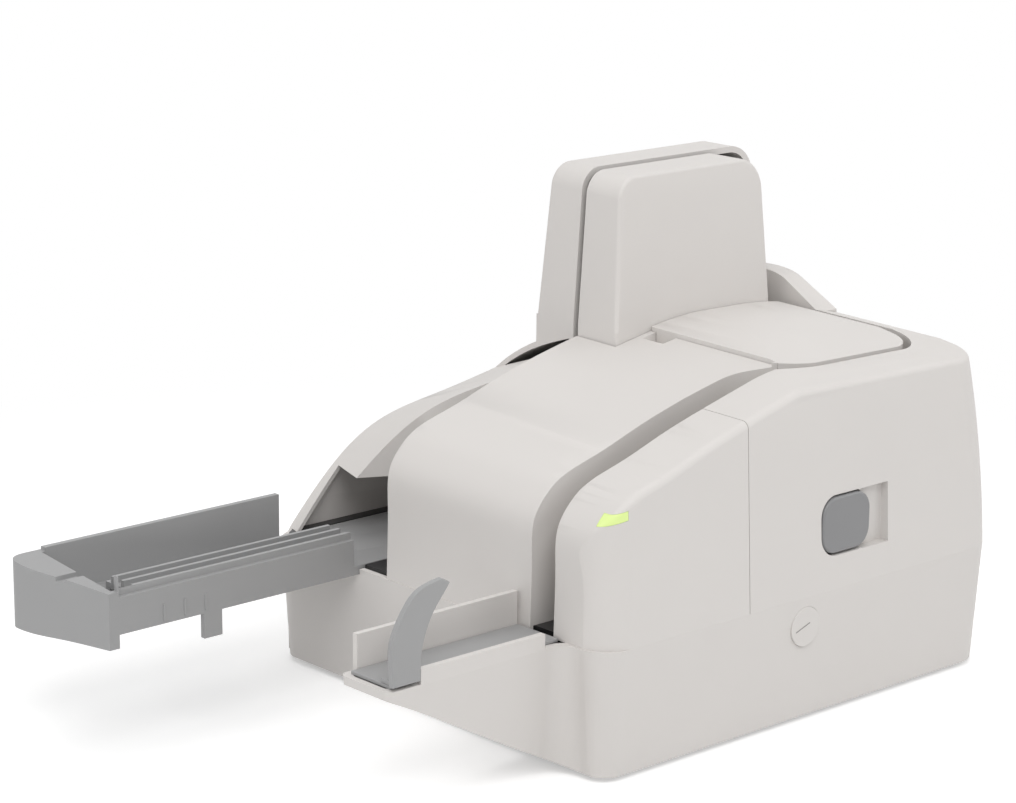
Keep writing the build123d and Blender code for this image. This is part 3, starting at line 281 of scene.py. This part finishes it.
def roller_body_material():
    return surface("Roller plastic", moulded_group, (0.03, 0.03, 0.032), 0.00003,
                   {"Grain Scale": 1500.0, "Variation": 0.15, "Sheen Low": 0.3, "Sheen High": 0.45})


def pinch_material():
    return surface("Pinch roller white", moulded_group, (0.62, 0.61, 0.58), 0.00002,
                   {"Grain Scale": 2000.0, "Variation": 0.05, "Sheen Low": 0.25, "Sheen High": 0.38})


def rubber_material():
    return surface("Tyre rubber", moulded_group, (0.022, 0.022, 0.022), 0.00009,
                   {"Grain Scale": 900.0, "Variation": 0.3, "Sheen Low": 0.68, "Sheen High": 0.86})


def foot_material():
    return surface("Foot rubber", moulded_group, (0.06, 0.06, 0.06), 0.00008,
                   {"Grain Scale": 800.0, "Variation": 0.2, "Sheen Low": 0.7, "Sheen High": 0.85})


def sensor_material():
    return surface("Sensor housing", moulded_group, (0.012, 0.012, 0.014), 0.00002,
                   {"Grain Scale": 2200.0, "Variation": 0.1, "Sheen Low": 0.2, "Sheen High": 0.3})


def steel_material():
    return surface("Ground steel", streak_group, (0.56, 0.56, 0.57), 0.00001, Metallic=1.0)


def can_material():
    return surface("Plated steel", streak_group, (0.48, 0.48, 0.49), 0.00002,
                   {"Stretch": (300.0, 300.0, 300.0), "Rough Low": 0.28, "Rough High": 0.45}, Metallic=1.0)


def bronze_material():
    return surface("Sintered bronze", streak_group, (0.62, 0.42, 0.18), 0.00003,
                   {"Stretch": (1400.0, 1400.0, 1400.0), "Rough Low": 0.35, "Rough High": 0.55}, Metallic=1.0)


def glass_material():
    return surface("Sensor glass", moulded_group, (0.75, 0.82, 0.84), 0.000005,
                   {"Grain Scale": 300.0, "Variation": 0.02, "Sheen Low": 0.03, "Sheen High": 0.06},
                   Transmission_Weight=0.8, IOR=1.5)


def light_material():
    material = surface("Status light", moulded_group, colours().light, 0.00001,
                       {"Grain Scale": 500.0, "Variation": 0.05, "Sheen Low": 0.2, "Sheen High": 0.3},
                       Emission_Strength=0.18)
    material.node_tree.nodes["Principled BSDF"].inputs["Emission Color"].default_value = (*colours().light, 1)
    return material


def board_material():
    """Green laminate with a regular pattern of lighter copper tracks under the mask."""
    name = "Circuit laminate"
    if name in bpy.data.materials:
        return bpy.data.materials[name]
    material = surface(name, moulded_group, (0.02, 0.13, 0.05), 0.00002,
                       {"Grain Scale": 900.0, "Variation": 0.1, "Sheen Low": 0.25, "Sheen High": 0.35})
    tree = material.node_tree
    place = add_node(tree, "TexCoord")
    tracks = add_node(tree, "TexBrick", Scale=160.0, offset=0.37, squash=0.6, squash_frequency=3)
    tracks.inputs["Mortar Size"].default_value = 0.035
    tracks.inputs["Color1"].default_value = (0.02, 0.13, 0.05, 1)
    tracks.inputs["Color2"].default_value = (0.022, 0.15, 0.055, 1)
    tracks.inputs["Mortar"].default_value = (0.07, 0.30, 0.10, 1)
    tree.links.new(place.outputs["Object"], tracks.inputs["Vector"])
    tree.links.new(tracks.outputs["Color"], tree.nodes["Principled BSDF"].inputs["Base Color"])
    return material


FINISH = {
    "casing_plastic": casing_material, "tray_plastic": tray_material, "lever_plastic": lever_material,
    "light_pipe": light_material, "guide_clear": pinch_material, "track_plastic": track_material,
    "roller_rubber": rubber_material, "foot_rubber": foot_material, "shaft_steel": steel_material,
    "screw_steel": can_material, "sensor_glass": glass_material, "sensor_body": sensor_material,
    "board": board_material, "motor_can": can_material, "bush_brass": bronze_material,
}
SLOT_OF = {entry["node"]: entry["material_slot"] for entry in frame["record"]["subparts"]}


# ---------------------------------------------------------------- mesh helpers
def coat(piece, material):
    """Give a piece one material."""
    piece.data.materials.clear()
    piece.data.materials.append(material)
    return piece


def link(name, mesh):
    piece = bpy.data.objects.new(name, mesh)
    bpy.context.collection.objects.link(piece)
    return piece


def moulded_copy(node, name, edge):
    """A merged copy of a node with rounded edges, which stands for the node."""
    mesh = NODES[node].data.copy()
    mesh.name = name
    body = bmesh.new()
    body.from_mesh(mesh)
    bmesh.ops.remove_doubles(body, verts=body.verts, dist=MERGE_DISTANCE)
    bmesh.ops.dissolve_limit(body, angle_limit=FLAT_ANGLE, verts=body.verts, edges=body.edges)
    for face in body.faces:
        face.smooth = True
    body.to_mesh(mesh)
    body.free()
    mesh.set_sharp_from_angle(angle=SHARP_ANGLE)
    piece = link(name, mesh)
    rounding = piece.modifiers.new("Edge", "BEVEL")
    rounding.width = edge
    rounding.segments = 2
    rounding.limit_method = "ANGLE"
    rounding.angle_limit = SHARP_ANGLE
    rounding.harden_normals = True
    return made_plain(piece)


def made_plain(piece):
    """Turn a piece's modifiers into one plain mesh."""
    bpy.context.view_layer.update()
    solid = bpy.data.meshes.new_from_object(piece.evaluated_get(bpy.context.evaluated_depsgraph_get()))
    piece.modifiers.clear()
    piece.data = solid
    solid.name = piece.name
    return piece


def rib_tree():
    """Geometry nodes for a row of like upright ribs."""
    name = "Rib Row"
    if name in bpy.data.node_groups:
        return bpy.data.node_groups[name]
    tree = bpy.data.node_groups.new(name, "GeometryNodeTree")
    tree.interface.new_socket("Geometry", in_out="OUTPUT", socket_type="NodeSocketGeometry")
    for kind, label in (("Int", "Count"), ("Vector", "Start"), ("Vector", "Step"), ("Vector", "Size"),
                        ("Material", "Material")):
        tree.interface.new_socket(label, in_out="INPUT", socket_type="NodeSocket" + kind)
    start = tree.nodes.new("NodeGroupInput")
    end = tree.nodes.new("NodeGroupOutput")
    row = tree.nodes.new("GeometryNodeMeshLine")
    bar = tree.nodes.new("GeometryNodeMeshCube")
    place = tree.nodes.new("GeometryNodeInstanceOnPoints")
    real = tree.nodes.new("GeometryNodeRealizeInstances")
    paint = tree.nodes.new("GeometryNodeSetMaterial")
    for source, target in ((start.outputs["Count"], row.inputs["Count"]),
                           (start.outputs["Start"], row.inputs["Start Location"]),
                           (start.outputs["Step"], row.inputs["Offset"]),
                           (start.outputs["Size"], bar.inputs["Size"]),
                           (row.outputs["Mesh"], place.inputs["Points"]),
                           (bar.outputs["Mesh"], place.inputs["Instance"]),
                           (place.outputs["Instances"], real.inputs["Geometry"]),
                           (real.outputs["Geometry"], paint.inputs["Geometry"]),
                           (start.outputs["Material"], paint.inputs["Material"]),
                           (paint.outputs["Geometry"], end.inputs["Geometry"])):
        tree.links.new(source, target)
    return tree


def rib_row(name, count, start, step, size, material):
    """A row of ribs with rounded edges, as one plain mesh."""
    piece = link(name, bpy.data.meshes.new(name))
    row = piece.modifiers.new("Ribs", "NODES")
    row.node_group = rib_tree()
    values = {"Count": count, "Start": start, "Step": step, "Size": size, "Material": material}
    for socket in row.node_group.interface.items_tree:
        if socket.in_out == "INPUT":
            row[socket.identifier] = values[socket.name]
    rounding = piece.modifiers.new("Edge", "BEVEL")
    rounding.width = min(size) * 0.35
    rounding.segments = 2
    return coat(made_plain(piece), material)


def button_mark():
    """The plain slanting line that is let into the power button's face."""
    mesh = bpy.data.meshes.new("power_button_mark")
    low, high = at(96.9, 0.04, 36.2), at(104.0, 0.04, 38.6)
    along = (high - low).normalized()
    across = along.cross(Vector((0, 1, 0))) * MARK_HALF_WIDTH
    tip = along * MARK_TIP
    outline = [low - across, low - tip, low + across, high + across, high + tip, high - across]
    shape = bmesh.new()
    face = shape.faces.new([shape.verts.new(point) for point in outline])
    solid = bmesh.ops.extrude_face_region(shape, geom=[face])
    moved = [part for part in solid["geom"] if isinstance(part, bmesh.types.BMVert)]
    bmesh.ops.translate(shape, vec=(0, MARK_DEPTH, 0), verts=moved)
    bmesh.ops.recalc_face_normals(shape, faces=shape.faces)
    shape.to_mesh(mesh)
    shape.free()
    piece = coat(link("power_button_mark", mesh), mark_material())
    return piece


def settle(piece, node, material):
    """Finish a piece that stands for a node: its material, its body and the node it hides."""
    coat(piece, material)
    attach(piece, BODY_OF[node])
    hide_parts(node)
    return piece


# ---------------------------------------------------------------- operators
class SCANNER_OT_covers(Operator):
    """Round and coat the base casing and the covers"""
    bl_idname = "scanner.covers"
    bl_label = "Casing and covers"

    def execute(self, context):
        edge = sizes().cover_edge
        for node in ("base_casing", "feed_corner_cover", "front_cover", "centre_cover", "path_cover",
                     "front_sensor_housing", "rear_cover"):
            settle(moulded_copy(node, node + "_moulding", edge), node, casing_material())
        return {"FINISHED"}


class SCANNER_OT_trays(Operator):
    """Round and coat the grey feed floor, feed guide and eject tray"""
    bl_idname = "scanner.trays"
    bl_label = "Trays and guide"

    def execute(self, context):
        for node in ("feed_floor", "feed_guide", "eject_tray"):
            settle(moulded_copy(node, node + "_moulding", sizes().tray_edge), node, tray_material())
        ribs = rib_row("tray_skirt_ribs", sizes().skirt_ribs, at(-88.5, 131.95, 50.8), RIB_STEP,
                       RIB_SIZE, tray_material())
        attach(ribs, "tray")
        return {"FINISHED"}


class SCANNER_OT_controls(Operator):
    """Finish the open lever, the power button and the status light"""
    bl_idname = "scanner.controls"
    bl_label = "Lever, button and light"

    def execute(self, context):
        settle(moulded_copy("open_lever", "open_lever_moulding", CAP_EDGE), "open_lever", lever_material())
        settle(moulded_copy("power_button", "power_button_cap", CAP_EDGE), "power_button", casing_material())
        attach(button_mark(), "button")
        settle(moulded_copy("status_light", "status_light_lens", LENS_EDGE), "status_light", light_material())
        return {"FINISHED"}


class SCANNER_OT_works(Operator):
    """Coat every node inside the casing with its own finish"""
    bl_idname = "scanner.works"
    bl_label = "Track and works"

    def execute(self, context):
        for node, thing in NODES.items():
            if not thing.hide_render:
                coat(thing, FINISH[SLOT_OF[node]]())
        return {"FINISHED"}


class SCANNER_OT_stage(Operator):
    """Set the floor, the lamps and the camera"""
    bl_idname = "scanner.stage"
    bl_label = "Stage"

    def execute(self, context):
        self.floor()
        self.lamps()
        self.camera(context)
        return {"FINISHED"}

    def floor(self):
        mesh = bpy.data.meshes.new("stage_floor")
        sheet = bmesh.new()
        bmesh.ops.create_grid(sheet, x_segments=1, y_segments=1, size=6.0)
        sheet.to_mesh(mesh)
        sheet.free()
        floor = link("stage_floor", mesh)
        material = bpy.data.materials.new("Pale floor")
        material.use_nodes = True
        tree = material.node_tree
        tree.nodes.clear()
        out = tree.nodes.new("ShaderNodeOutputMaterial")
        paper = add_node(tree, "BsdfDiffuse", Color=(0.86, 0.86, 0.86, 1))
        lift = add_node(tree, "Emission", Color=(1, 1, 1, 1), Strength=0.36)
        white = add_node(tree, "Emission", Color=(1, 1, 1, 1), Strength=1.0)
        near = tree.nodes.new("ShaderNodeAddShader")
        tree.links.new(paper.outputs[0], near.inputs[0])
        tree.links.new(lift.outputs[0], near.inputs[1])
        place = add_node(tree, "TexCoord")
        reach = add_node(tree, "VectorMath", operation="LENGTH")
        tree.links.new(place.outputs["Object"], reach.inputs[0])
        fade = add_node(tree, "MapRange", interpolation_type="SMOOTHSTEP")
        fade.inputs["From Min"].default_value, fade.inputs["From Max"].default_value = FLOOR_FADE
        tree.links.new(reach.outputs["Value"], fade.inputs["Value"])
        shown = tree.nodes.new("ShaderNodeMixShader")
        tree.links.new(fade.outputs["Result"], shown.inputs[0])
        tree.links.new(near.outputs[0], shown.inputs[1])
        tree.links.new(white.outputs[0], shown.inputs[2])
        pick = tree.nodes.new("ShaderNodeMixShader")
        tree.links.new(seen_ray(tree), pick.inputs[0])
        tree.links.new(paper.outputs[0], pick.inputs[1])
        tree.links.new(shown.outputs[0], pick.inputs[2])
        tree.links.new(pick.outputs[0], out.inputs["Surface"])
        coat(floor, material)

    def lamps(self):
        level = sizes().lamp_level
        for name, place, target, size, power in (
                ("key_lamp", (-0.9, -1.3, 1.9), (0, 0, 0.05), 1.6, 27.0),
                ("fill_lamp", (1.3, -1.2, 1.0), (0, 0, 0.08), 1.8, 11.0),
                ("side_lamp", (-1.9, 0.2, 0.8), (0, 0, 0.08), 1.5, 8.0),
                ("top_lamp", (0.1, 0.5, 2.2), (0, 0, 0), 1.8, 14.0)):
            light = bpy.data.lights.new(name, "AREA")
            light.shape = "DISK"
            light.size = size
            light.energy = power * level
            lamp = bpy.data.objects.new(name, light)
            bpy.context.collection.objects.link(lamp)
            aim = (Vector(target) - Vector(place)).to_track_quat("-Z", "Y")
            lamp.matrix_world = Matrix.Translation(place) @ aim.to_matrix().to_4x4()
        world = bpy.data.worlds.new("Studio") if bpy.context.scene.world is None else bpy.context.scene.world
        bpy.context.scene.world = world
        world.use_nodes = True
        tree = world.node_tree
        tree.nodes.clear()
        out = tree.nodes.new("ShaderNodeOutputWorld")
        room = add_node(tree, "Background", Color=(1, 1, 1, 1), Strength=0.37)
        white = add_node(tree, "Background", Color=(1, 1, 1, 1), Strength=1.0)
        pick = tree.nodes.new("ShaderNodeMixShader")
        tree.links.new(seen_ray(tree), pick.inputs[0])
        tree.links.new(room.outputs[0], pick.inputs[1])
        tree.links.new(white.outputs[0], pick.inputs[2])
        tree.links.new(pick.outputs[0], out.inputs["Surface"])

    def camera(self, context):
        lens = bpy.data.cameras.new("view_camera")
        lens.lens = 107.16
        lens.sensor_width = 36.0
        lens.clip_start = 0.01
        eye = bpy.data.objects.new("view_camera", lens)
        context.collection.objects.link(eye)
        place = at(-681.4, -700.4, 388.1)
        target = at(-45.45, 0.0, 146.27)
        ahead = (target - place).normalized()
        level = ahead.cross(Vector((0, 0, 1))).normalized()
        upright = level.cross(ahead)
        roll = radians(0.54)
        right = level * cos(roll) + upright * sin(roll)
        up = right.cross(ahead)
        turn = Matrix((right, up, -ahead)).transposed().to_4x4()
        eye.matrix_world = Matrix.Translation(place) @ turn
        context.scene.camera = eye


class SCANNER_PT_panel(Panel):
    """Lists the scanner's operators and settings"""
    bl_idname = "SCANNER_PT_panel"
    bl_label = "Cheque scanner"
    bl_space_type = "VIEW_3D"
    bl_region_type = "UI"
    bl_category = "Scanner"

    def draw(self, context):
        for step in STEPS:
            self.layout.operator(step.bl_idname)
        for settings in (context.scene.scanner_sizes, context.scene.scanner_colours):
            box = self.layout.box()
            for name in settings.__annotations__:
                box.prop(settings, name)


STEPS = (SCANNER_OT_covers, SCANNER_OT_trays, SCANNER_OT_controls, SCANNER_OT_works, SCANNER_OT_stage)
CLASSES = (ScannerSizes, ScannerColours) + STEPS + (SCANNER_PT_panel,)


def register():
    for kind in CLASSES:
        bpy.utils.register_class(kind)
    bpy.types.Scene.scanner_sizes = PointerProperty(type=ScannerSizes)
    bpy.types.Scene.scanner_colours = PointerProperty(type=ScannerColours)


def unregister():
    del bpy.types.Scene.scanner_colours
    del bpy.types.Scene.scanner_sizes
    for kind in reversed(CLASSES):
        bpy.utils.unregister_class(kind)


def main():
    register()
    bpy.context.scene.view_settings.view_transform = "Standard"
    for step in STEPS:
        area, action = step.bl_idname.split(".")
        getattr(getattr(bpy.ops, area), action)()


if __name__ == "__main__":
    main()
